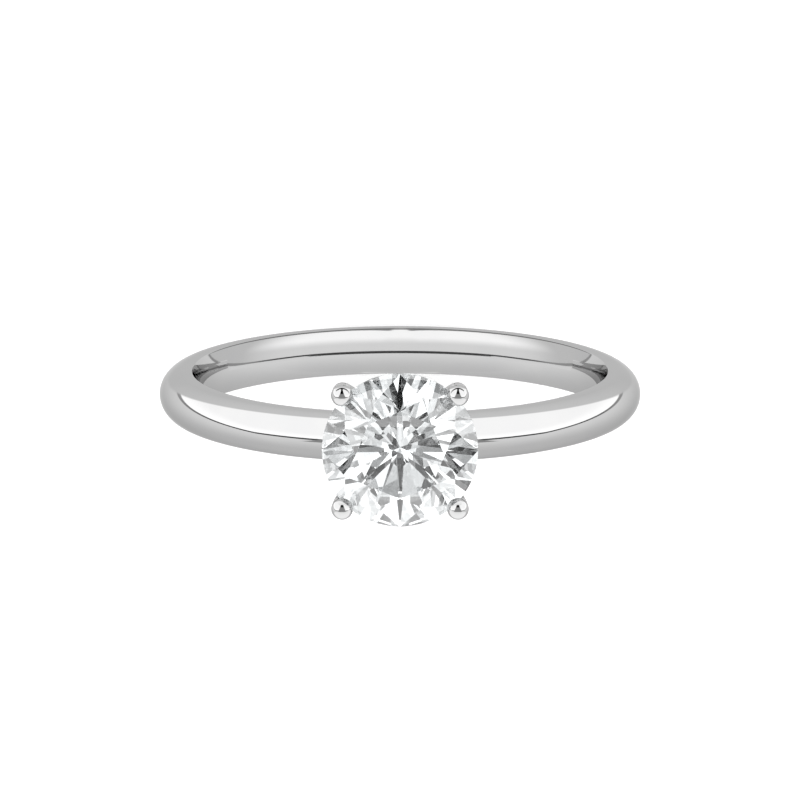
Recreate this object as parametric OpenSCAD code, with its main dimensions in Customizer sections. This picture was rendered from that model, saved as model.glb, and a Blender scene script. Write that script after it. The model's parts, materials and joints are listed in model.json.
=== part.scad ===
// Four-claw solitaire engagement ring, in millimetres.
// The finger hole runs along Y, centred on the origin, and the stone faces +Z.
// Eight pieces: a coped shank, a two-rail head with four claws, and the stone.

/* [Band] */
// Diameter of the finger hole at the crown of its comfort-fit inside
finger_d = 17.3; // [15:0.1:21]
// Width of the band along the finger
band_w = 2.04; // [1.8:0.02:2.4]
// Thickness of the band, from the finger to its outer crown
band_t = 1.65; // [1.5:0.05:2]
// How far the comfort-fit inside falls away at its edges
comfort_rise = 0.27; // [0.1:0.01:0.35]
// Width of the cylindrical land in the middle of the inside
land_w = 0.6; // [0.4:0.1:1]

/* [Stone] */
// Diameter of the stone at its girdle
stone_d = 6.5; // [6.2:0.1:6.8]
// Table width as a share of the stone's diameter
table_ratio = 0.57; // [0.53:0.01:0.62]
// Angle of the kite facets above the girdle, in degrees
crown_angle = 34.5; // [33:0.5:36]
// Angle of the pavilion main facets below the girdle, in degrees
pavilion_angle = 40.75; // [40.5:0.25:41.5]
// Length of the star facets as a share of the crown's width
star_ratio = 0.5; // [0.45:0.05:0.6]
// Length of the lower halves as a share of the pavilion's radius
lower_half_ratio = 0.87; // [0.7:0.01:0.9]
// Height of the girdle as a share of the stone's diameter
girdle_ratio = 0.03; // [0.025:0.005:0.04]
// Space between the finger hole and the point of the stone
culet_gap = 0.15; // [0.1:0.05:0.4]

/* [Head] */
// Distance from the head's axis to each claw tip
claw_reach = 3.41; // [3.35:0.01:3.5]
// Diameter of the claw wire beside the girdle
claw_wire_d = 0.82; // [0.7:0.02:0.9]
// Diameter of the claw wire at its foot
claw_foot_d = 0.68; // [0.6:0.02:0.7]
// Diameter of the round claw tips
tip_d = 0.91; // [0.85:0.01:1]
// Height of the tip centres above the top of the girdle
tip_rise = 0.33; // [0.28:0.01:0.4]
// Distance from the head's axis to each claw foot
foot_reach = 1.7; // [1.65:0.05:1.8]
// Diameter of the seat rail's wire
seat_wire_d = 0.54; // [0.44:0.02:0.56]
// Outer radius of the base rail
base_outer_r = 1.9; // [1.85:0.05:1.95]
// Inner radius of the base rail
base_inner_r = 1.25; // [1.15:0.05:1.3]
// Height of the base rail above the edge of the finger hole
base_h = 0.83; // [0.7:0.01:0.85]

/* [Hidden] */

round_fn = 128;
arc_fn = 96;
wire_fn = 48;

finger_r = finger_d / 2;
outer_r = finger_r + band_t;
rim_r = finger_r + comfort_rise;
half_w = band_w / 2;
shoulder_r = outer_r - half_w;

stone_r = stone_d / 2;
table_r = table_ratio * stone_r;
girdle_h = girdle_ratio * stone_d;
culet_z = finger_r + culet_gap;
girdle_low_z = culet_z + stone_r * tan(pavilion_angle);
girdle_top_z = girdle_low_z + girdle_h;
table_z = girdle_top_z + (stone_r - table_r) * tan(crown_angle);

// The stone has eightfold symmetry: a kite every 45 degrees, with a half step between kites
kite_step = 45;
half_step = kite_step / 2;
arc_steps = 4;
star_r = table_r * cos(half_step) * (1 - star_ratio) + stone_r * star_ratio;
star_z = girdle_top_z + (stone_r - star_r * cos(half_step)) * tan(crown_angle);
lower_r = stone_r * (1 - lower_half_ratio);
lower_z = culet_z + lower_r * cos(half_step) * tan(pavilion_angle);

claw_wire_r = claw_wire_d / 2;
tip_r = tip_d / 2;
tip_z = girdle_top_z + tip_rise;
// The claws lean outwards up to a knee just under the girdle, then stand upright
knee_z = girdle_low_z - 0.3;
knee_swell = 0.01;
foot_z = finger_r;
claw_lean = atan((claw_reach - foot_reach) / (knee_z - foot_z));
claw_leg = norm([claw_reach - foot_reach, knee_z - foot_z]);

bearing_gap = 0.04;
bearing_inner_r = stone_r - 1;

seat_wire_r = seat_wire_d / 2;
seat_gap = 0.08;
seat_r = 2.25;
seat_z = culet_z + seat_r * tan(pavilion_angle) - (seat_wire_r + seat_gap) / cos(pavilion_angle);

base_top_z = rim_r + base_h;
// The rail's tube starts inside the finger hole and is trimmed to it
blank_low_z = 0.8 * finger_r;
base_chamfer = 0.12;
head_h = table_z + 1;

// The comfort-fit inside falls away from its land to each rim along one arc
comfort_run = half_w - land_w / 2;
comfort_arc_r = (comfort_run * comfort_run + comfort_rise * comfort_rise) / (2 * comfort_rise);

module around_finger() {
    rotate([90, 0, 0])
        rotate_extrude($fn = round_fn)
            children();
}

// Everything outside the band's inner line: its land, the arc on each side, and all past the rims
module outside_comfort_line() {
    translate([finger_r, -land_w / 2])
        square([band_t, land_w]);
    for (side = [-1, 1])
        translate([finger_r + comfort_arc_r, side * land_w / 2])
            circle(r = comfort_arc_r, $fn = arc_fn);
    translate([rim_r, -half_w])
        square([band_t, band_w]);
}

// Section of the band: a full round outside, flat flanks, and the comfort-fit line inside
module band_section() {
    intersection() {
        union() {
            translate([shoulder_r, 0])
                circle(r = half_w, $fn = arc_fn);
            translate([finger_r, -half_w])
                square([shoulder_r - finger_r, band_w]);
        }
        outside_comfort_line();
    }
}

// Everything that the finger needs kept clear, for trimming the head flush with the band
module finger_space() {
    reach = 2 * base_outer_r;
    around_finger()
        difference() {
            translate([0, -reach])
                square([rim_r, 2 * reach]);
            outside_comfort_line();
        }
}

module shank() {
    color("silver")
        difference() {
            around_finger()
                band_section();
            cylinder(r = base_outer_r, h = head_h, $fn = round_fn);
        }
}

module claw_blank() {
    translate([foot_reach, 0, foot_z])
        rotate([0, claw_lean, 0])
            cylinder(r1 = claw_foot_d / 2, r2 = claw_wire_r, h = claw_leg, $fn = wire_fn);
    translate([claw_reach, 0, knee_z]) {
        sphere(r = claw_wire_r + knee_swell, $fn = wire_fn);
        cylinder(r = claw_wire_r, h = tip_z - knee_z, $fn = wire_fn);
    }
    translate([claw_reach, 0, tip_z])
        sphere(r = tip_r, $fn = wire_fn);
}

// The bearing cut into each claw, which grips the girdle from above and below
module bearing() {
    gap_r = stone_r + bearing_gap;
    low_inner_z = girdle_low_z - (stone_r - bearing_inner_r) * tan(pavilion_angle);
    top_inner_z = girdle_top_z + (stone_r - bearing_inner_r) * tan(crown_angle);
    rotate_extrude($fn = round_fn)
        polygon([
            [bearing_inner_r, low_inner_z - bearing_gap],
            [gap_r, girdle_low_z - bearing_gap],
            [gap_r, girdle_top_z + bearing_gap],
            [bearing_inner_r, top_inner_z + bearing_gap]
        ]);
}

module claw(direction) {
    color("silver")
        difference() {
            rotate([0, 0, direction])
                claw_blank();
            bearing();
            finger_space();
        }
}

module claw_notches() {
    for (i = [0 : 3])
        rotate([0, 0, 45 + 90 * i])
            claw_blank();
}

module base_rail() {
    color("silver")
        difference() {
            rotate_extrude($fn = round_fn)
                polygon([
                    [base_inner_r, blank_low_z],
                    [base_outer_r, blank_low_z],
                    [base_outer_r, base_top_z - base_chamfer],
                    [base_outer_r - base_chamfer, base_top_z],
                    [base_inner_r, base_top_z]
                ]);
            finger_space();
            claw_notches();
        }
}

module seat_rail() {
    color("silver")
        difference() {
            translate([0, 0, seat_z])
                rotate_extrude($fn = round_fn)
                    translate([seat_r, 0])
                        circle(r = seat_wire_r, $fn = wire_fn);
            claw_notches();
        }
}

function polar(r, angle, z) = [r * cos(angle), r * sin(angle), z];

// Height at the girdle's cylinder of the plane through three points
function plane_z(a, b, c, x, y) =
    let (n = cross(b - a, c - a))
        a[2] - (n[0] * (x - a[0]) + n[1] * (y - a[1])) / n[2];

// One edge of the girdle: where each half facet's plane meets the round outline
function girdle_edge(inner_r, inner_z, edge_z) = [
    for (k = [0 : 15])
        for (s = [0 : arc_steps - 1])
            let (
                low = half_step * k,
                mid = k % 2 == 0 ? low + half_step : low,
                apex = polar(inner_r, mid, inner_z),
                start = polar(stone_r, low, edge_z),
                end = polar(stone_r, low + half_step, edge_z),
                at = polar(stone_r, low + half_step * s / arc_steps, 0)
            )
                [at[0], at[1], plane_z(apex, start, end, at[0], at[1])]
];

// A round brilliant: table, 8 stars, 8 kites, 16 upper halves, 16 lower halves, 8 mains
module diamond() {
    edge_n = 16 * arc_steps;
    table_at = 0;
    star_at = 8;
    top_at = 16;
    low_at = top_at + edge_n;
    lower_at = low_at + edge_n;
    culet_at = lower_at + 8;
    points = concat(
        [for (k = [0 : 7]) polar(table_r, kite_step * k, table_z)],
        [for (k = [0 : 7]) polar(star_r, kite_step * k + half_step, star_z)],
        girdle_edge(star_r, star_z, girdle_top_z),
        girdle_edge(lower_r, lower_z, girdle_low_z),
        [for (k = [0 : 7]) polar(lower_r, kite_step * k + half_step, lower_z)],
        [[0, 0, culet_z]]
    );
    // Girdle points of half facet k, counted from its lower angle to its higher one
    function arc(from, k) = [for (s = [0 : arc_steps]) from + (k * arc_steps + s) % edge_n];
    // The star or pavilion corner that half facet k meets, half a step from its kite
    function apex(from, k) = from + floor(k / 2);
    function kite_girdle(from, k) = from + (2 * k * arc_steps) % edge_n;
    function reversed(list) = [for (i = [len(list) - 1 : -1 : 0]) list[i]];
    faces = concat(
        [[for (k = [7 : -1 : 0]) table_at + k]],
        [for (k = [0 : 7]) [table_at + k, table_at + (k + 1) % 8, star_at + k]],
        [for (k = [0 : 7]) [table_at + k, star_at + k, kite_girdle(top_at, k), star_at + (k + 7) % 8]],
        [for (k = [0 : 15]) concat([apex(star_at, k)], reversed(arc(top_at, k)))],
        [for (i = [0 : edge_n - 1]) [
            top_at + i, top_at + (i + 1) % edge_n, low_at + (i + 1) % edge_n, low_at + i
        ]],
        [for (k = [0 : 15]) concat([apex(lower_at, k)], arc(low_at, k))],
        [for (k = [0 : 7]) [culet_at, lower_at + (k + 7) % 8, kite_girdle(low_at, k), lower_at + k]]
    );
    color("azure")
        polyhedron(points = points, faces = faces, convexity = 2);
}

shank();
base_rail();
seat_rail();
claw(135);  // claw_back_left
claw(45);  // claw_back_right
claw(225);  // claw_front_left
claw(315);  // claw_front_right
diamond();
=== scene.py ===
"""The looks of a four-claw solitaire ring: polished white gold and a round brilliant stone.

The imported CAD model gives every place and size. Each CAD piece is replaced by a finer mesh of
the same shape, because mirror-polished metal and a cut stone show every facet of a coarse one.
Meshes are worked out in millimetres and scaled to metres at the end.
"""
import json
import math

import bmesh
import bpy
from mathutils import Matrix, Vector


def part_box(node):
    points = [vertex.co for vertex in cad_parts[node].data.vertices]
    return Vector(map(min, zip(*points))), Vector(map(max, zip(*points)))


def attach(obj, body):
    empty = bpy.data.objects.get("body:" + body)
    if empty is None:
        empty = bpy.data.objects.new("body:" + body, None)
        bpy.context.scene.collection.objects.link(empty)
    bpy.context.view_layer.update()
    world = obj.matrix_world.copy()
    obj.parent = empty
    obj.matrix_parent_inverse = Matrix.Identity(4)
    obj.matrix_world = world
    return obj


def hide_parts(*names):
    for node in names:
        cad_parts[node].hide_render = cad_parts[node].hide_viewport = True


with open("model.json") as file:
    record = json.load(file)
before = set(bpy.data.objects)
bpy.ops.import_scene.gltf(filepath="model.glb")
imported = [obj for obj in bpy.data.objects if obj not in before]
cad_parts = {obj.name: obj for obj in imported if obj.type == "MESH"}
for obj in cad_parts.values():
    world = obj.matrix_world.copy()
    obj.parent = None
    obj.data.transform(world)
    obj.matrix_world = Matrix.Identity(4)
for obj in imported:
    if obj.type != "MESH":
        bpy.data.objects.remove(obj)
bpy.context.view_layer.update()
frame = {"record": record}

MM = 0.001
BODY = "root"
CLAWS = {
    "claw_back_left": 135,
    "claw_back_right": 45,
    "claw_front_left": 225,
    "claw_front_right": 315,
}


# ---------------------------------------------------------------- sizes, in millimetres

def corner_mm(node, side):
    """The lowest (side 0) or highest (side 1) corner of a CAD node."""
    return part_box(node)[side] / MM


BAND_HIGH = corner_mm("shank", 1)
BASE_HIGH = corner_mm("base_rail", 1)
STONE_LOW = corner_mm("diamond", 0)
STONE_HIGH = corner_mm("diamond", 1)
TIP_HIGH = corner_mm("claw_back_right", 1)

FINGER_R = frame["record"]["mounts"][0]["dims"]["r_mm"]
OUTER_R = BAND_HIGH.x
HALF_W = BAND_HIGH.y
SHOULDER_R = OUTER_R - HALF_W
COMFORT_RISE = 0.27
RIM_R = FINGER_R + COMFORT_RISE
RIM_FILLET = 0.07

STONE_R = STONE_HIGH.x
CROWN_ANGLE = math.radians(34.5)
PAVILION_ANGLE = math.radians(40.75)
TABLE_RATIO = 0.57
STAR_RATIO = 0.5
LOWER_HALF_RATIO = 0.87
MAINS = 8
HALVES = 2 * MAINS
MAIN_STEP = 360 / MAINS
HALF_STEP = 360 / HALVES
CULET_Z = STONE_LOW.z
TABLE_Z = STONE_HIGH.z
GIRDLE_LOW_Z = CULET_Z + STONE_R * math.tan(PAVILION_ANGLE)
GIRDLE_TOP_Z = TABLE_Z - STONE_R * (1 - TABLE_RATIO) * math.tan(CROWN_ANGLE)

BASE_OUTER_R = BASE_HIGH.x
BASE_TOP_Z = BASE_HIGH.z
BASE_INNER_R = 1.25
BASE_ROUGH_Z = 0.8 * FINGER_R
BASE_FILLET = 0.12

SEAT_HIGH = corner_mm("seat_rail", 1)
SEAT_WIRE_R = (SEAT_HIGH.z - corner_mm("seat_rail", 0).z) / 2
SEAT_Z = SEAT_HIGH.z - SEAT_WIRE_R
SEAT_R = SEAT_HIGH.x - SEAT_WIRE_R

TIP_R = 0.455
TIP_Z = TIP_HIGH.z - TIP_R
CLAW_REACH = (TIP_HIGH.x - TIP_R) * math.sqrt(2)
CLAW_WIRE_R = 0.41
CLAW_FOOT_R = 0.34
FOOT_REACH = 1.7
KNEE_Z = GIRDLE_LOW_Z - 0.3
KNEE_BEND_R = 0.9
BEARING_DEPTH = 1
BEARING_GAP = 0.04

# How many straight steps make each round
AROUND_BAND = 420
ACROSS_BAND = 64
AROUND_HEAD = 256
AROUND_WIRE = 56
LEG_STEPS = 10
KNEE_STEPS = 14
TIP_STEPS = 28
FILLET_STEPS = 8
GIRDLE_STEPS = 12
SHARP_ANGLE = math.radians(32)


# ---------------------------------------------------------------- mesh helpers

def new_object(name, points, faces):
    """A mesh object from points in millimetres, not yet scaled."""
    mesh = bpy.data.meshes.new(name)
    mesh.from_pydata([tuple(p) for p in points], [], faces)
    mesh.validate()
    obj = bpy.data.objects.new(name, mesh)
    bpy.context.scene.collection.objects.link(obj)
    return obj


def ring_faces(rows, columns):
    """Quads between rows of points, where each row is a closed loop."""
    faces = []
    for row in range(rows - 1):
        for column in range(columns):
            after = (column + 1) % columns
            a = row * columns + column
            b = row * columns + after
            faces.append((a, b, b + columns, a + columns))
    return faces


def revolved(name, profile, steps, place):
    """A closed outline of (radius, height) points turned once about an axis."""
    count = len(profile)
    points = []
    faces = []
    for step in range(steps):
        angle = math.tau * step / steps
        points += [place(radius, height, angle) for radius, height in profile]
    for step in range(steps):
        here = step * count
        there = (step + 1) % steps * count
        for i in range(count):
            j = (i + 1) % count
            faces.append((here + i, here + j, there + j, there + i))
    obj = new_object(name, points, faces)
    recalculate(obj)
    return obj


def about_z(radius, height, angle):
    """A place round the head's axis."""
    return (radius * math.cos(angle), radius * math.sin(angle), height)


def about_y(radius, height, angle):
    """A place round the finger's axis, with angle 0 at the stone."""
    return (radius * math.sin(angle), height, radius * math.cos(angle))


def recalculate(obj):
    """Points every face outwards."""
    work = bmesh.new()
    work.from_mesh(obj.data)
    bmesh.ops.recalc_face_normals(work, faces=work.faces)
    work.to_mesh(obj.data)
    work.free()


def cut(obj, cutters):
    """Subtracts the cutters from the object and keeps the result as its mesh."""
    for cutter in cutters:
        step = obj.modifiers.new("cut", "BOOLEAN")
        step.operation = "DIFFERENCE"
        step.solver = "EXACT"
        step.object = cutter
    bpy.context.view_layer.update()
    evaluated = obj.evaluated_get(bpy.context.evaluated_depsgraph_get())
    mesh = bpy.data.meshes.new_from_object(evaluated)
    obj.modifiers.clear()
    obj.data = mesh


def remove(objects):
    for obj in objects:
        bpy.data.objects.remove(obj)


def shade(obj, sharp_angle):
    """Smooth shading, with a crease wherever two faces meet at more than the sharp angle."""
    work = bmesh.new()
    work.from_mesh(obj.data)
    for face in work.faces:
        face.smooth = True
    for edge in work.edges:
        if len(edge.link_faces) == 2:
            edge.smooth = edge.calc_face_angle() < sharp_angle
    work.to_mesh(obj.data)
    work.free()


def finish_piece(obj, node, materials):
    """Scales a piece to metres, dresses it, and lets it stand for its CAD node."""
    obj.data.transform(Matrix.Scale(MM, 4))
    obj.data.materials.clear()
    for material in materials:
        obj.data.materials.append(material)
    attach(obj, BODY)
    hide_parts(node)


# ---------------------------------------------------------------- the band

def comfort_radius(y):
    """Radius of the inside of the band at a distance y from its middle plane."""
    arc_r = (HALF_W ** 2 + COMFORT_RISE ** 2) / (2 * COMFORT_RISE)
    arc_centre = FINGER_R + arc_r
    fillet_y = HALF_W - RIM_FILLET
    fillet_r = arc_centre - math.sqrt((arc_r - RIM_FILLET) ** 2 - fillet_y ** 2)
    tangent_y = fillet_y * arc_r / (arc_r - RIM_FILLET)
    if abs(y) < tangent_y:
        return arc_centre - math.sqrt(arc_r ** 2 - y ** 2)
    reach = max(RIM_FILLET ** 2 - (abs(y) - fillet_y) ** 2, 0)
    return fillet_r - math.sqrt(reach)


def dome_radius(y):
    """Radius of the outside of the band at a distance y from its middle plane."""
    return SHOULDER_R + math.sqrt(max(HALF_W ** 2 - y ** 2, 0))


def make_shank():
    """A C-shaped band whose two ends are coped to fit round the base rail."""
    across = [HALF_W * math.sin(math.pi * (i / ACROSS_BAND - 0.5)) for i in range(ACROSS_BAND + 1)]
    outline = [(dome_radius(y), y) for y in across]
    outline += [(comfort_radius(y), y) for y in reversed(across)]
    columns = len(outline)
    points = []
    for row in range(AROUND_BAND + 1):
        for radius, y in outline:
            start = math.asin(math.sqrt(BASE_OUTER_R ** 2 - y ** 2) / radius)
            angle = start + (math.tau - 2 * start) * row / AROUND_BAND
            points.append(about_y(radius, y, angle))
    faces = ring_faces(AROUND_BAND + 1, columns)
    for first in (0, AROUND_BAND * columns):
        for i in range(ACROSS_BAND):
            outer = first + i
            inner = first + columns - 1 - i
            faces.append((outer, outer + 1, inner - 1, inner))
    obj = new_object("band", points, faces)
    recalculate(obj)
    shade(obj, SHARP_ANGLE)
    return obj


def make_finger_space():
    """The space inside the finger hole, which the head's underside is trimmed to."""
    reach = 2 * BASE_OUTER_R
    across = [HALF_W * (2 * i / ACROSS_BAND - 1) for i in range(ACROSS_BAND + 1)]
    inner = 0.5 * FINGER_R
    profile = [(inner, -reach), (RIM_R, -reach)]
    profile += [(min(comfort_radius(y), RIM_R), y) for y in across]
    profile += [(RIM_R, reach), (inner, reach)]
    return revolved("finger_space", profile, AROUND_HEAD, about_y)


# ---------------------------------------------------------------- the head

def claw_path():
    """Reach, height, lean and wire radius at places along a claw, from foot to tip."""
    run = CLAW_REACH - FOOT_REACH
    rise = KNEE_Z - FINGER_R
    lean = math.atan2(run, rise)
    leg = math.hypot(run, rise)
    trim = KNEE_BEND_R * math.tan(lean / 2)
    stations = []
    for i in range(LEG_STEPS):
        along = (leg - trim) * i / LEG_STEPS
        reach = FOOT_REACH + along * math.sin(lean)
        z = FINGER_R + along * math.cos(lean)
        radius = CLAW_FOOT_R + (CLAW_WIRE_R - CLAW_FOOT_R) * along / leg
        stations.append((reach, z, lean, radius))
    for i in range(KNEE_STEPS + 1):
        turn = lean * (1 - i / KNEE_STEPS)
        reach = CLAW_REACH - KNEE_BEND_R * (1 - math.cos(turn))
        z = KNEE_Z + trim - KNEE_BEND_R * math.sin(turn)
        stations.append((reach, z, turn, CLAW_WIRE_R))
    neck = math.sqrt(TIP_R ** 2 - CLAW_WIRE_R ** 2)
    start = math.atan2(CLAW_WIRE_R, neck)
    for i in range(TIP_STEPS):
        angle = math.pi - start - (math.pi - start) * i / TIP_STEPS
        stations.append((CLAW_REACH, TIP_Z + TIP_R * math.cos(angle), 0, TIP_R * math.sin(angle)))
    return stations


def make_claw_blank(name, direction):
    """One claw before its bearing is cut: a bent round wire that ends in a ball."""
    points = []
    stations = claw_path()
    for reach, height, lean, radius in stations:
        for i in range(AROUND_WIRE):
            angle = math.tau * i / AROUND_WIRE
            out = radius * math.cos(angle)
            x = reach + out * math.cos(lean)
            y = radius * math.sin(angle)
            z = height - out * math.sin(lean)
            points.append((x, y, z))
    faces = ring_faces(len(stations), AROUND_WIRE)
    faces.append(tuple(range(AROUND_WIRE)))
    top = len(points)
    points.append((CLAW_REACH, 0, TIP_Z + TIP_R))
    last = top - AROUND_WIRE
    for i in range(AROUND_WIRE):
        faces.append((last + i, last + (i + 1) % AROUND_WIRE, top))
    obj = new_object(name, points, faces)
    obj.data.transform(Matrix.Rotation(math.radians(direction), 4, "Z"))
    recalculate(obj)
    return obj


def make_bearing():
    """The shape of the girdle and the facets beside it, with a little room to spare."""
    inner_r = STONE_R - BEARING_DEPTH
    drop = (STONE_R - inner_r) * math.tan(PAVILION_ANGLE)
    lift = (STONE_R - inner_r) * math.tan(CROWN_ANGLE)
    profile = [
        (inner_r, GIRDLE_LOW_Z - drop - BEARING_GAP),
        (STONE_R + BEARING_GAP, GIRDLE_LOW_Z - BEARING_GAP),
        (STONE_R + BEARING_GAP, GIRDLE_TOP_Z + BEARING_GAP),
        (inner_r, GIRDLE_TOP_Z + lift + BEARING_GAP),
    ]
    return revolved("bearing", profile, AROUND_HEAD, about_z)


def rounded(centre, radius, start, end, steps):
    """Points on an arc in the section plane, from one angle in degrees to another."""
    points = []
    for i in range(steps + 1):
        angle = math.radians(start + (end - start) * i / steps)
        out = centre[0] + radius * math.cos(angle)
        points.append((out, centre[1] + radius * math.sin(angle)))
    return points


def make_base_rail():
    """The lower gallery ring, with rounded upper edges and a rough end that is trimmed later."""
    fillet = BASE_FILLET
    fillet_z = BASE_TOP_Z - fillet
    profile = [(BASE_INNER_R, BASE_ROUGH_Z), (BASE_OUTER_R, BASE_ROUGH_Z)]
    profile += rounded((BASE_OUTER_R - fillet, fillet_z), fillet, 0, 90, FILLET_STEPS)
    profile += rounded((BASE_INNER_R + fillet, fillet_z), fillet, 90, 180, FILLET_STEPS)
    return revolved("base_rail_piece", profile, AROUND_HEAD, about_z)


def make_seat_rail():
    """The upper gallery ring, a round wire."""
    profile = rounded((SEAT_R, SEAT_Z), SEAT_WIRE_R, 0, 360, AROUND_WIRE)[:-1]
    return revolved("seat_rail_piece", profile, AROUND_HEAD, about_z)


# ---------------------------------------------------------------- the stone

def plane_height(a, b, c, x, y):
    """Height at (x, y) of the plane through three points."""
    normal = (b - a).cross(c - a)
    return a.z - (normal.x * (x - a.x) + normal.y * (y - a.y)) / normal.z


def polar(radius, degrees, z):
    angle = math.radians(degrees)
    return Vector((radius * math.cos(angle), radius * math.sin(angle), z))


def girdle_edge(inner_r, inner_z, edge_z):
    """One edge of the girdle, scalloped where each half facet's plane meets the round outline."""
    edge = []
    for k in range(HALVES):
        low = HALF_STEP * k
        middle = low + HALF_STEP if k % 2 == 0 else low
        apex = polar(inner_r, middle, inner_z)
        start = polar(STONE_R, low, edge_z)
        end = polar(STONE_R, low + HALF_STEP, edge_z)
        for s in range(GIRDLE_STEPS):
            at = polar(STONE_R, low + HALF_STEP * s / GIRDLE_STEPS, 0)
            edge.append(Vector((at.x, at.y, plane_height(apex, start, end, at.x, at.y))))
    return edge


def girdle_arc(first, k):
    """The numbers of the points under half facet k, on the girdle edge that starts at first."""
    around = HALVES * GIRDLE_STEPS
    return [first + (k * GIRDLE_STEPS + s) % around for s in range(GIRDLE_STEPS + 1)]


def dress_girdle(obj, first):
    """Gives the faces from first on the second material, and keeps every facet's edge sharp."""
    for face in obj.data.polygons[first:]:
        face.material_index = 1
        face.use_smooth = True
    work = bmesh.new()
    work.from_mesh(obj.data)
    for edge in work.edges:
        edge.smooth = all(face.material_index == 1 for face in edge.link_faces)
    work.to_mesh(obj.data)
    work.free()


def make_diamond():
    """A round brilliant: table, stars, kites, upper halves, girdle, lower halves and mains."""
    cos_half = math.cos(math.radians(HALF_STEP))
    table_r = TABLE_RATIO * STONE_R
    star_r = table_r * cos_half * (1 - STAR_RATIO) + STONE_R * STAR_RATIO
    star_z = GIRDLE_TOP_Z + (STONE_R - star_r * cos_half) * math.tan(CROWN_ANGLE)
    lower_r = STONE_R * (1 - LOWER_HALF_RATIO)
    lower_z = CULET_Z + lower_r * cos_half * math.tan(PAVILION_ANGLE)

    points = [polar(table_r, MAIN_STEP * k, TABLE_Z) for k in range(MAINS)]
    star_at = len(points)
    points += [polar(star_r, MAIN_STEP * k + HALF_STEP, star_z) for k in range(MAINS)]
    top_at = len(points)
    points += girdle_edge(star_r, star_z, GIRDLE_TOP_Z)
    low_at = len(points)
    points += girdle_edge(lower_r, lower_z, GIRDLE_LOW_Z)
    lower_at = len(points)
    points += [polar(lower_r, MAIN_STEP * k + HALF_STEP, lower_z) for k in range(MAINS)]
    culet_at = len(points)
    points.append(Vector((0, 0, CULET_Z)))

    faces = [tuple(range(MAINS))]
    for k in range(MAINS):
        before = (k - 1) % MAINS
        kite = 2 * k * GIRDLE_STEPS
        faces.append((k, star_at + k, (k + 1) % MAINS))
        faces.append((k, star_at + before, top_at + kite, star_at + k))
        faces.append((culet_at, lower_at + k, low_at + kite, lower_at + before))
    for k in range(HALVES):
        faces.append(tuple([star_at + k // 2] + girdle_arc(top_at, k)))
        faces.append(tuple([lower_at + k // 2] + girdle_arc(low_at, k)))
    girdle_first = len(faces)
    for i in range(HALVES * GIRDLE_STEPS):
        after = (i + 1) % (HALVES * GIRDLE_STEPS)
        faces.append((top_at + i, top_at + after, low_at + after, low_at + i))
    obj = new_object("brilliant", points, faces)
    recalculate(obj)
    dress_girdle(obj, girdle_first)
    return obj


# ---------------------------------------------------------------- materials

def material_nodes(name):
    material = bpy.data.materials.new(name)
    material.use_nodes = True
    nodes = material.node_tree.nodes
    return material, nodes, material.node_tree.links, nodes["Principled BSDF"]


def noise(nodes, links, scale, detail):
    """Fine noise over the piece's own coordinates; scale is in features per metre."""
    where = nodes.new("ShaderNodeTexCoord")
    texture = nodes.new("ShaderNodeTexNoise")
    texture.inputs["Scale"].default_value = scale
    texture.inputs["Detail"].default_value = detail
    links.new(where.outputs["Object"], texture.inputs["Vector"])
    return texture.outputs["Fac"]


def remap(nodes, links, value, low, high):
    """Turns noise between 0 and 1 into a number between low and high."""
    step = nodes.new("ShaderNodeMapRange")
    step.inputs["To Min"].default_value = low
    step.inputs["To Max"].default_value = high
    links.new(value, step.inputs["Value"])
    return step.outputs["Result"]


def tint(nodes, links, value, low, high):
    """A colour between two near tones, led by noise."""
    mix = nodes.new("ShaderNodeMix")
    mix.data_type = "RGBA"
    mix.inputs["A"].default_value = (*low, 1)
    mix.inputs["B"].default_value = (*high, 1)
    links.new(value, mix.inputs["Factor"])
    return mix.outputs["Result"]


METAL_DARK = (0.55, 0.55, 0.555)
METAL_PALE = (0.585, 0.583, 0.58)
METAL_EDGE = (0.7, 0.7, 0.7)
METAL_ROUGHNESS = (0.03, 0.075)
METAL_TONE_SCALE = 700
METAL_HAZE_SCALE = 2600
HAIRLINE_SCALE = 9000
HAIRLINE_DEPTH = 0.004 * MM
HAIRLINE_STRENGTH = 0.02


def make_white_gold():
    """Rhodium-bright polished metal with the faint haze and hairlines that a buff leaves."""
    material, nodes, links, shader = material_nodes("white_gold_polished")
    shader.inputs["Metallic"].default_value = 1.0
    shader.inputs["Specular Tint"].default_value = (*METAL_EDGE, 1)
    cloud = noise(nodes, links, METAL_TONE_SCALE, detail=3)
    links.new(tint(nodes, links, cloud, METAL_DARK, METAL_PALE), shader.inputs["Base Color"])
    haze = noise(nodes, links, METAL_HAZE_SCALE, detail=5)
    links.new(remap(nodes, links, haze, *METAL_ROUGHNESS), shader.inputs["Roughness"])
    bump = nodes.new("ShaderNodeBump")
    bump.inputs["Strength"].default_value = HAIRLINE_STRENGTH
    bump.inputs["Distance"].default_value = HAIRLINE_DEPTH
    links.new(noise(nodes, links, HAIRLINE_SCALE, detail=2), bump.inputs["Height"])
    links.new(bump.outputs["Normal"], shader.inputs["Normal"])
    return material


DIAMOND_IOR = 2.417
DIAMOND_COOL = (0.95, 0.985, 1.0)
DIAMOND_CLEAR = (0.975, 0.993, 1.0)
DIAMOND_TONE_SCALE = 500
DIAMOND_HAZE_SCALE = 4000
FACET_ROUGHNESS = (0.0, 0.004)
GIRDLE_ROUGHNESS = (0.02, 0.08)


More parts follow.
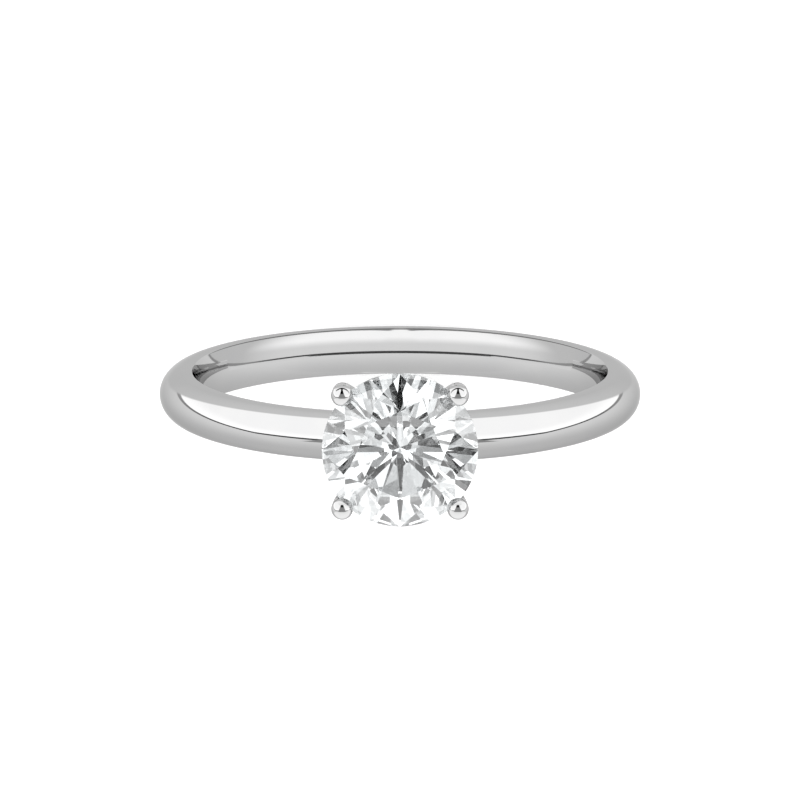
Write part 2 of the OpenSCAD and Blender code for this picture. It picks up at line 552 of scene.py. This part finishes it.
def make_diamond_material(name, roughness):
    """Colourless diamond; the roughness tells polished facets from the bruted girdle."""
    material, nodes, links, shader = material_nodes(name)
    shader.inputs["Transmission Weight"].default_value = 1.0
    shader.inputs["IOR"].default_value = DIAMOND_IOR
    cloud = noise(nodes, links, DIAMOND_TONE_SCALE, detail=2)
    links.new(tint(nodes, links, cloud, DIAMOND_COOL, DIAMOND_CLEAR), shader.inputs["Base Color"])
    haze = noise(nodes, links, DIAMOND_HAZE_SCALE, detail=2)
    links.new(remap(nodes, links, haze, *roughness), shader.inputs["Roughness"])
    return material


FLOOR_HALF_SIZE = 0.6
FLOOR_GREY = (0.88, 0.88, 0.88)
FLOOR_WHITE = (0.9, 0.9, 0.9)
FLOOR_TONE_SCALE = 40
FLOOR_ROUGHNESS = 0.9
FLOOR_GLOW = 0.35


def make_floor_material():
    """Matt pale card that glows a little, as a lit table top does."""
    material, nodes, links, shader = material_nodes("pale_floor")
    cloud = noise(nodes, links, FLOOR_TONE_SCALE, detail=2)
    links.new(tint(nodes, links, cloud, FLOOR_GREY, FLOOR_WHITE), shader.inputs["Base Color"])
    shader.inputs["Roughness"].default_value = FLOOR_ROUGHNESS
    shader.inputs["Specular IOR Level"].default_value = 0.0
    shader.inputs["Emission Color"].default_value = (1, 1, 1, 1)
    shader.inputs["Emission Strength"].default_value = FLOOR_GLOW
    return material


# ---------------------------------------------------------------- camera and floor

ELEVATION = math.radians(11.85)
CAMERA_DISTANCE = 400 * MM
VIEW_WIDTH = 34.28 * MM
SENSOR_WIDTH = 36.0
AIM_DROP = 0.32 * MM


def make_camera():
    """A long lens that faces the stone, tipped off its axis so that it sees into the finger hole."""
    right = Vector((1, 0, 0))
    up = Vector((0, math.cos(ELEVATION), -math.sin(ELEVATION)))
    back = Vector((0, math.sin(ELEVATION), math.cos(ELEVATION)))
    data = bpy.data.cameras.new("camera")
    data.type = "PERSP"
    data.sensor_width = SENSOR_WIDTH
    data.lens = SENSOR_WIDTH * CAMERA_DISTANCE / VIEW_WIDTH
    data.clip_start = 0.01
    data.clip_end = 10
    camera = bpy.data.objects.new("camera", data)
    bpy.context.scene.collection.objects.link(camera)
    turn = Matrix((right, up, back)).transposed()
    camera.matrix_world = Matrix.Translation(CAMERA_DISTANCE * back - AIM_DROP * up) @ turn.to_4x4()
    bpy.context.scene.camera = camera


def make_floor():
    """A plain pale table top that the band stands on."""
    size = FLOOR_HALF_SIZE
    z = -OUTER_R * MM
    corners = [(-size, -size, z), (size, -size, z), (size, size, z), (-size, size, z)]
    mesh = bpy.data.meshes.new("floor")
    mesh.from_pydata(corners, [], [(0, 1, 2, 3)])
    mesh.materials.append(make_floor_material())
    floor = bpy.data.objects.new("floor", mesh)
    bpy.context.scene.collection.objects.link(floor)
    floor.visible_glossy = False
    floor.visible_transmission = False


# ---------------------------------------------------------------- formulas in a shader

class Sums:
    """Short names for math nodes, so that a formula reads as one.

    Each value is a number or a node's output.
    """

    def __init__(self, tree):
        self.tree = tree

    def plug(self, sockets, values):
        """Sets a socket that gets a number, and links one that gets an output."""
        for socket, value in zip(sockets, values):
            if isinstance(value, (int, float)):
                socket.default_value = value
            else:
                self.tree.links.new(value, socket)

    def do(self, operation, *values):
        node = self.tree.nodes.new("ShaderNodeMath")
        node.operation = operation
        self.plug(node.inputs, values)
        return node.outputs[0]

    def add(self, a, b):
        return self.do("ADD", a, b)

    def minus(self, a, b):
        return self.do("SUBTRACT", a, b)

    def times(self, a, b):
        return self.do("MULTIPLY", a, b)

    def greater(self, a, b):
        return self.do("MAXIMUM", a, b)

    def size(self, a):
        return self.do("ABSOLUTE", a)

    def ramp(self, value, low, high):
        """Runs smoothly from 0 at low to 1 at high; low may be the greater."""
        node = self.tree.nodes.new("ShaderNodeMapRange")
        node.interpolation_type = "SMOOTHSTEP"
        sockets = [node.inputs[name] for name in ("Value", "From Min", "From Max")]
        self.plug(sockets, (value, low, high))
        return node.outputs["Result"]

    def mix(self, factor, a, b):
        """Runs from a where the factor is 0 to b where it is 1; sockets 0, 2 and 3 take numbers."""
        node = self.tree.nodes.new("ShaderNodeMix")
        node.data_type = "FLOAT"
        self.plug((node.inputs[0], node.inputs[2], node.inputs[3]), (factor, a, b))
        return node.outputs[0]


# ---------------------------------------------------------------- studio light

# The world is a function of the direction (x, y, z) that a reflection looks along. The axes are
# the ring's own: y runs along the finger hole and z is where the stone faces. Lengths and heights
# of the lights are parts of 1, and a brightness of about 1.2 shows white in the metal.
SOFTBOX = 1.62
SOFTBOX_EDGE = 1.9
SOFTBOX_FADE = 0.45
FRONT_NEAR = 1.12
FRONT_FAR = 0.8
FRONT_DEPTH = 0.8
FRONT_EDGE = 0.01
GAP_LIGHT = 0.08
GAP_FAR_LIGHT = 0.55
GAP_Y = -0.19
GAP_RISE = 0.46
GAP_BEND_Z = 0.28
GAP_HALF = 0.025
GAP_WIDENING = 0.03
GAP_SOFT = 0.02
GAP_END = -0.95
GAP_FADE = (GAP_END - 0.2, GAP_END + 0.1)
BACKDROP = 0.95
BACKDROP_LEAN = 1.2
BACKDROP_START = 1.2
BACKDROP_SOFT = 0.08


def studio_light(sums, x, y, z):
    """Softboxes above a thin dark gap, the table front below it, and a backdrop behind."""
    turned_away = sums.greater(sums.minus(GAP_BEND_Z, z), 0.0)
    above = sums.minus(y, sums.add(GAP_Y, sums.times(GAP_RISE, turned_away)))
    boxes = sums.mix(sums.ramp(above, 0.0, SOFTBOX_FADE), SOFTBOX_EDGE, SOFTBOX)
    front = sums.mix(sums.ramp(above, 0.0, -FRONT_DEPTH), FRONT_NEAR, FRONT_FAR)
    level = sums.mix(sums.ramp(above, -FRONT_EDGE, FRONT_EDGE), front, boxes)

    gap_half = sums.add(GAP_HALF, sums.times(GAP_WIDENING, sums.greater(z, 0.0)))
    in_gap = sums.ramp(sums.size(above), sums.add(gap_half, GAP_SOFT), gap_half)
    in_gap = sums.times(in_gap, sums.ramp(z, *GAP_FADE))
    gap_light = sums.mix(sums.ramp(z, 0.0, GAP_END), GAP_LIGHT, GAP_FAR_LIGHT)
    level = sums.mix(in_gap, level, gap_light)

    behind = sums.minus(y, sums.times(BACKDROP_LEAN, z))
    in_backdrop = sums.ramp(behind, BACKDROP_START, BACKDROP_START + BACKDROP_SOFT)
    return sums.mix(in_backdrop, level, BACKDROP)


APRON = 1.6
APRON_SPREAD = 0.75
APRON_EDGE = 0.06
APRON_HIGH = 0.3
APRON_HIGH_FADE = 0.1
APRON_LOW = -0.93
APRON_LOW_FADE = 0.07
STAND_DARK = 0.0
STAND_GREY = 0.4
STAND_TOP = 0.98
STAND_KNEE = 0.45
STAND_FOOT = -0.38
STAND_TOP_HALF = 0.14
STAND_SPREAD = 0.42
STAND_SOFT = 0.03


def stand_light(sums, level, x, y, z):
    """The camera's stand: a dark column that widens downwards, its grey foot, a white apron."""
    beside = sums.minus(sums.size(x), sums.times(APRON_SPREAD, z))
    below_top = sums.ramp(y, APRON_HIGH, APRON_HIGH - APRON_HIGH_FADE)
    above_foot = sums.ramp(y, APRON_LOW, APRON_LOW + APRON_LOW_FADE)
    apron = sums.times(sums.ramp(beside, 0.0, -APRON_EDGE), sums.times(below_top, above_foot))
    level = sums.mix(apron, level, APRON)

    half = sums.add(STAND_TOP_HALF, sums.times(STAND_SPREAD, sums.minus(STAND_TOP, y)))
    column = sums.ramp(sums.size(x), half, sums.minus(half, STAND_SOFT))
    column = sums.times(column, sums.ramp(y, STAND_FOOT - STAND_SOFT, STAND_FOOT))
    column = sums.times(column, sums.ramp(z, -0.05, 0.1))
    below_knee = sums.ramp(y, STAND_KNEE + STAND_SOFT, STAND_KNEE - STAND_SOFT)
    tone = sums.mix(below_knee, STAND_DARK, STAND_GREY)
    return sums.mix(column, level, tone)


# ---------------------------------------------------------------- cards

def make_card(name, corners, light, one_sided):
    """A glowing card that only reflections see; a one-sided card is clear from its front.

    The light is a number, or a function of the place on the card in metres.
    """
    mesh = bpy.data.meshes.new(name)
    points = [tuple(c * MM for c in corner) for corner in corners]
    mesh.from_pydata(points, [], [tuple(range(len(points)))])
    card = bpy.data.objects.new(name, mesh)
    bpy.context.scene.collection.objects.link(card)
    material = bpy.data.materials.new(name)
    material.use_nodes = True
    tree = material.node_tree
    tree.nodes.remove(tree.nodes["Principled BSDF"])
    geometry = tree.nodes.new("ShaderNodeNewGeometry")
    parts = tree.nodes.new("ShaderNodeSeparateXYZ")
    tree.links.new(geometry.outputs["Position"], parts.inputs[0])
    glow = tree.nodes.new("ShaderNodeEmission")
    if callable(light):
        tree.links.new(light(Sums(tree), *parts.outputs), glow.inputs["Strength"])
    else:
        glow.inputs["Strength"].default_value = light
    surface = tree.nodes["Material Output"].inputs["Surface"]
    if one_sided:
        clear = tree.nodes.new("ShaderNodeBsdfTransparent")
        side = tree.nodes.new("ShaderNodeMixShader")
        tree.links.new(geometry.outputs["Backfacing"], side.inputs[0])
        tree.links.new(clear.outputs[0], side.inputs[1])
        tree.links.new(glow.outputs[0], side.inputs[2])
        tree.links.new(side.outputs[0], surface)
    else:
        tree.links.new(glow.outputs[0], surface)
    mesh.materials.append(material)
    card.visible_camera = False
    card.visible_diffuse = False
    card.visible_shadow = False
    card.visible_transmission = False


# The high cards stand in the hole, one on each side of the middle plane. A point of the far inside
# wall sees them at a depth of half the finger radius or more. Lengths are in millimetres.
HIGH_CARD_APART = 0.15
HIGH_CARD_LOW = 0.6
HIGH_CARD_FRONT = -3.5
TAIL_LOW = -1.6
TAIL_FRONT = -4.7
CARD_MIDDLE = 1.1
CARD_TOP = 1.6
CARD_END = 0.85
CARD_FOOT = 1.08
CARD_WHITENS = (1.0, 3.0)
CARD_GREYS = (-5.0, -7.0)
FLAG = 0.3
FLAG_LOW = 4.3
FLAG_RISE = 14.0
FLAG_EDGE = 0.05
LINE_Y = -0.79
LINE_BEND = 0.11
LINE_BEND_Z = -5.5
LINE_HALF = 0.2
LINE_END_HALF = 0.45
LINE_WIDENS = (-6.0, -8.0)
LINE_END_LIGHT = 0.45
LINE_PALES = (-5.2, -6.6)
LINE_CORE = 0.7


def high_card_light(sums, x, y, z):
    """White high up, greyer towards the ends, a dark flag on top, and the gap's line below."""
    high = sums.times(1 / MM, y)
    deep = sums.times(1 / MM, z)
    level = sums.mix(sums.ramp(high, *CARD_WHITENS), CARD_MIDDLE, CARD_TOP)
    level = sums.mix(sums.ramp(deep, *CARD_GREYS), level, CARD_END)
    flag_y = sums.add(FLAG_LOW, sums.do("DIVIDE", FLAG_RISE, sums.times(deep, deep)))
    in_flag = sums.ramp(sums.minus(high, flag_y), -FLAG_EDGE, FLAG_EDGE)
    level = sums.mix(in_flag, level, FLAG)

    beyond = sums.minus(deep, LINE_BEND_Z)
    line_y = sums.add(LINE_Y, sums.times(LINE_BEND, sums.times(beyond, beyond)))
    from_line = sums.minus(high, line_y)
    level = sums.mix(sums.ramp(from_line, 0.0, -0.1), level, CARD_FOOT)
    tone = sums.mix(sums.ramp(deep, *LINE_PALES), GAP_LIGHT, LINE_END_LIGHT)
    half = sums.mix(sums.ramp(deep, *LINE_WIDENS), LINE_HALF, LINE_END_HALF)
    in_line = sums.ramp(sums.size(from_line), half, sums.times(LINE_CORE, half))
    return sums.mix(in_line, level, tone)


# The low card lies across the hole, level with the finger's axis. The MIDDLE limits are parts of
# a direction of length 1, and the SEAM ones are places on the card in metres.
MIDDLE_TOP = (0.6, 0.3)
MIDDLE_FOOT = (-0.16, -0.1)
SEAM_SIDES = (1.3 * MM, 1.0 * MM)
SEAM_FOOT = (0.9 * MM, 1.3 * MM)
SEAM_LIFT = 0.3 * MM


def low_card_light(sums, card_x, card_y, card_z):
    """The studio as the middle of the far inside wall sees it, without the stand.

    The seam repeats the high cards, because the wall sees between them there.
    """
    back = sums.add(card_z, FINGER_R * MM)
    squares = sums.add(sums.times(card_y, card_y), sums.times(back, back))
    squares = sums.add(sums.times(card_x, card_x), squares)
    scale = sums.do("DIVIDE", 1.0, sums.do("SQRT", squares))
    x, y, z = (sums.times(part, scale) for part in (card_x, card_y, back))
    level = studio_light(sums, x, y, z)
    middle = sums.times(sums.ramp(y, *MIDDLE_TOP), sums.ramp(y, *MIDDLE_FOOT))
    level = sums.mix(middle, level, CARD_MIDDLE)

    in_seam = sums.times(sums.ramp(sums.size(card_x), *SEAM_SIDES), sums.ramp(card_y, *SEAM_FOOT))
    half_way_y = sums.add(SEAM_LIFT, sums.times(0.5, card_y))
    half_way_z = -0.5 * FINGER_R * MM
    seam = high_card_light(sums, card_x, half_way_y, half_way_z)
    return sums.mix(in_seam, level, seam)


# How far the cards stay from the metal, in millimetres
SIDE_GAP = 0.1
RIM_GAP = 0.08
WALL_GAP = 0.5


def make_band_cards():
    """Cards that light the inside of the band, as photographers put one in a ring."""
    wide = FINGER_R - SIDE_GAP
    far = 4 * FINGER_R
    high = 2 * OUTER_R
    rim = HALF_W + RIM_GAP
    low_card = [
        (-far, -high, 0), (far, -high, 0), (far, -rim, 0), (wide, -rim, 0),
        (wide, high, 0), (-wide, high, 0), (-wide, -rim, 0), (-far, -rim, 0),
    ]
    make_card("low_card", low_card, low_card_light, True)
    edge = WALL_GAP - FINGER_R
    outline = [
        (rim, -high), (rim, edge), (TAIL_LOW, edge), (TAIL_LOW, TAIL_FRONT),
        (HIGH_CARD_LOW, TAIL_FRONT), (HIGH_CARD_LOW, HIGH_CARD_FRONT),
        (high, HIGH_CARD_FRONT), (high, -high),
    ]
    left_card = [(-HIGH_CARD_APART, y, z) for y, z in outline]
    right_card = [(HIGH_CARD_APART, y, z) for y, z in reversed(outline)]
    make_card("left_high_card", left_card, high_card_light, True)
    make_card("right_high_card", right_card, high_card_light, True)


TIP_X = CLAW_REACH / math.sqrt(2)
TIP_CARD_DROP = 1.2
TIP_CARD_HALF = 5
TIP_CARD_BACK = 0.3
TIP_CARD_DEPTH = 2.9
TIP_CARD_NEAR = 1.5
TIP_CARD_FAR = 1.3
TIP_STRIP_TILT = math.radians(80)
TIP_STRIP_AWAY = 1.5
TIP_STRIP_LONG = 4.2
TIP_STRIP_HALF = 0.2


def tip_card_light(sums, x, y, z):
    """Brightest beside the claw tips, and a little less bright further out."""
    away = sums.ramp(z, TIP_Z * MM, (TIP_Z + TIP_CARD_DEPTH) * MM)
    return sums.mix(away, TIP_CARD_NEAR, TIP_CARD_FAR)


def make_tip_cards():
    """A pale card under each pair of claw tips and a dark strip above the upper pair."""
    wide = TIP_CARD_HALF
    near = TIP_Z - TIP_CARD_BACK
    far = TIP_Z + TIP_CARD_DEPTH
    for name, y in (("upper_tip_card", TIP_X), ("lower_tip_card", -TIP_X)):
        low = y - TIP_CARD_DROP
        card = [(-wide, low, near), (wide, low, near), (wide, low, far), (-wide, low, far)]
        make_card(name, card, tip_card_light, False)
    up = math.sin(TIP_STRIP_TILT)
    out = math.cos(TIP_STRIP_TILT)
    strip = []
    for end, side in ((-1, 1), (1, 1), (1, -1), (-1, -1)):
        half = side * TIP_STRIP_HALF
        y = TIP_X + TIP_STRIP_AWAY * up + half * out
        z = TIP_Z + TIP_STRIP_AWAY * out - half * up
        strip.append((TIP_STRIP_LONG * end, y, z))
    make_card("tip_strip", strip, 0.0, False)


# ---------------------------------------------------------------- the stone's light and the world

WAVE_MIDDLE = 0.82
WAVE_SWING = 0.95
WAVE_FLOOR = 0.06
WAVE_SHARE = 0.6
FIRST_WAVES = 3
FIRST_TWIST = 5
FIRST_PHASE = 0.6
SECOND_WAVES = 7
SECOND_TWIST = -9
SECOND_PHASE = 4.2
BEHIND_STONE = 0.8
LENS_X = -0.03
LENS_Y = 0.2
LENS_WIDE = 0.15
LENS_HIGH = 0.26
LENS_EDGE = 1.15
LENS_DARK = 0.0


def stone_light(sums, x, y, z):
    """The stone's own light: cards of many tones round it, and the dark lens it looks up at."""
    turn = sums.do("ARCTAN2", x, y)
    out = sums.do("SQRT", sums.add(sums.times(x, x), sums.times(y, y)))
    first = sums.add(sums.times(FIRST_TWIST, out), FIRST_PHASE)
    first = sums.do("SINE", sums.add(sums.times(FIRST_WAVES, turn), first))
    second = sums.add(sums.times(SECOND_TWIST, out), SECOND_PHASE)
    second = sums.do("SINE", sums.add(sums.times(SECOND_WAVES, turn), second))
    both = sums.add(sums.times(WAVE_SHARE, first), sums.times(WAVE_SHARE, second))
    level = sums.greater(sums.add(WAVE_MIDDLE, sums.times(WAVE_SWING, both)), WAVE_FLOOR)
    level = sums.mix(sums.ramp(z, 0.0, 0.15), BEHIND_STONE, level)

    lens_x = sums.times(1 / LENS_WIDE, sums.minus(x, LENS_X))
    lens_y = sums.times(1 / LENS_HIGH, sums.minus(y, LENS_Y))
    off_axis = sums.do("SQRT", sums.add(sums.times(lens_x, lens_x), sums.times(lens_y, lens_y)))
    in_lens = sums.times(sums.ramp(off_axis, LENS_EDGE, 1.0), sums.ramp(z, 0.0, 0.1))
    return sums.mix(in_lens, level, LENS_DARK)


def make_world():
    """A soft studio behind a plain white view; rays that have entered the stone see its own light."""
    world = bpy.data.worlds.new("studio")
    bpy.context.scene.world = world
    world.use_nodes = True
    tree = world.node_tree
    sums = Sums(tree)
    where = tree.nodes.new("ShaderNodeTexCoord")
    parts = tree.nodes.new("ShaderNodeSeparateXYZ")
    tree.links.new(where.outputs["Generated"], parts.inputs[0])
    direction = list(parts.outputs)
    path = tree.nodes.new("ShaderNodeLightPath")
    # The depth is a whole number: 0 outside the stone and 1 or more inside it.
    in_stone = sums.ramp(path.outputs["Transmission Depth"], 0.4, 0.6)
    metal = stand_light(sums, studio_light(sums, *direction), *direction)
    level = sums.mix(in_stone, metal, stone_light(sums, *direction))
    level = sums.mix(path.outputs["Is Camera Ray"], level, 1.0)
    tree.links.new(level, tree.nodes["Background"].inputs["Color"])


def set_render_look():
    """Plain tones, and enough bounces for the light to find its way out of the stone."""
    scene = bpy.context.scene
    scene.view_settings.view_transform = "Standard"
    scene.cycles.max_bounces = 32
    scene.cycles.transmission_bounces = 32
    scene.cycles.glossy_bounces = 8


# ---------------------------------------------------------------- assembly

def make_ring():
    """Every piece of the ring, cut where it meets its neighbours, in place of its CAD node."""
    gold = make_white_gold()
    facets = make_diamond_material("diamond_facets", FACET_ROUGHNESS)
    girdle = make_diamond_material("diamond_girdle", GIRDLE_ROUGHNESS)
    finish_piece(make_shank(), "shank", [gold])

    finger_space = make_finger_space()
    bearing = make_bearing()
    claws = {node: make_claw_blank(node + "_piece", turn) for node, turn in CLAWS.items()}
    for node, make in (("base_rail", make_base_rail), ("seat_rail", make_seat_rail)):
        rail = make()
        cut(rail, [finger_space, *claws.values()])
        shade(rail, SHARP_ANGLE)
        finish_piece(rail, node, [gold])
    for node, claw in claws.items():
        cut(claw, [bearing, finger_space])
        shade(claw, SHARP_ANGLE)
        finish_piece(claw, node, [gold])
    remove([finger_space, bearing])
    finish_piece(make_diamond(), "diamond", [facets, girdle])


make_camera()
make_floor()
make_band_cards()
make_tip_cards()
make_world()
set_render_look()
make_ring()
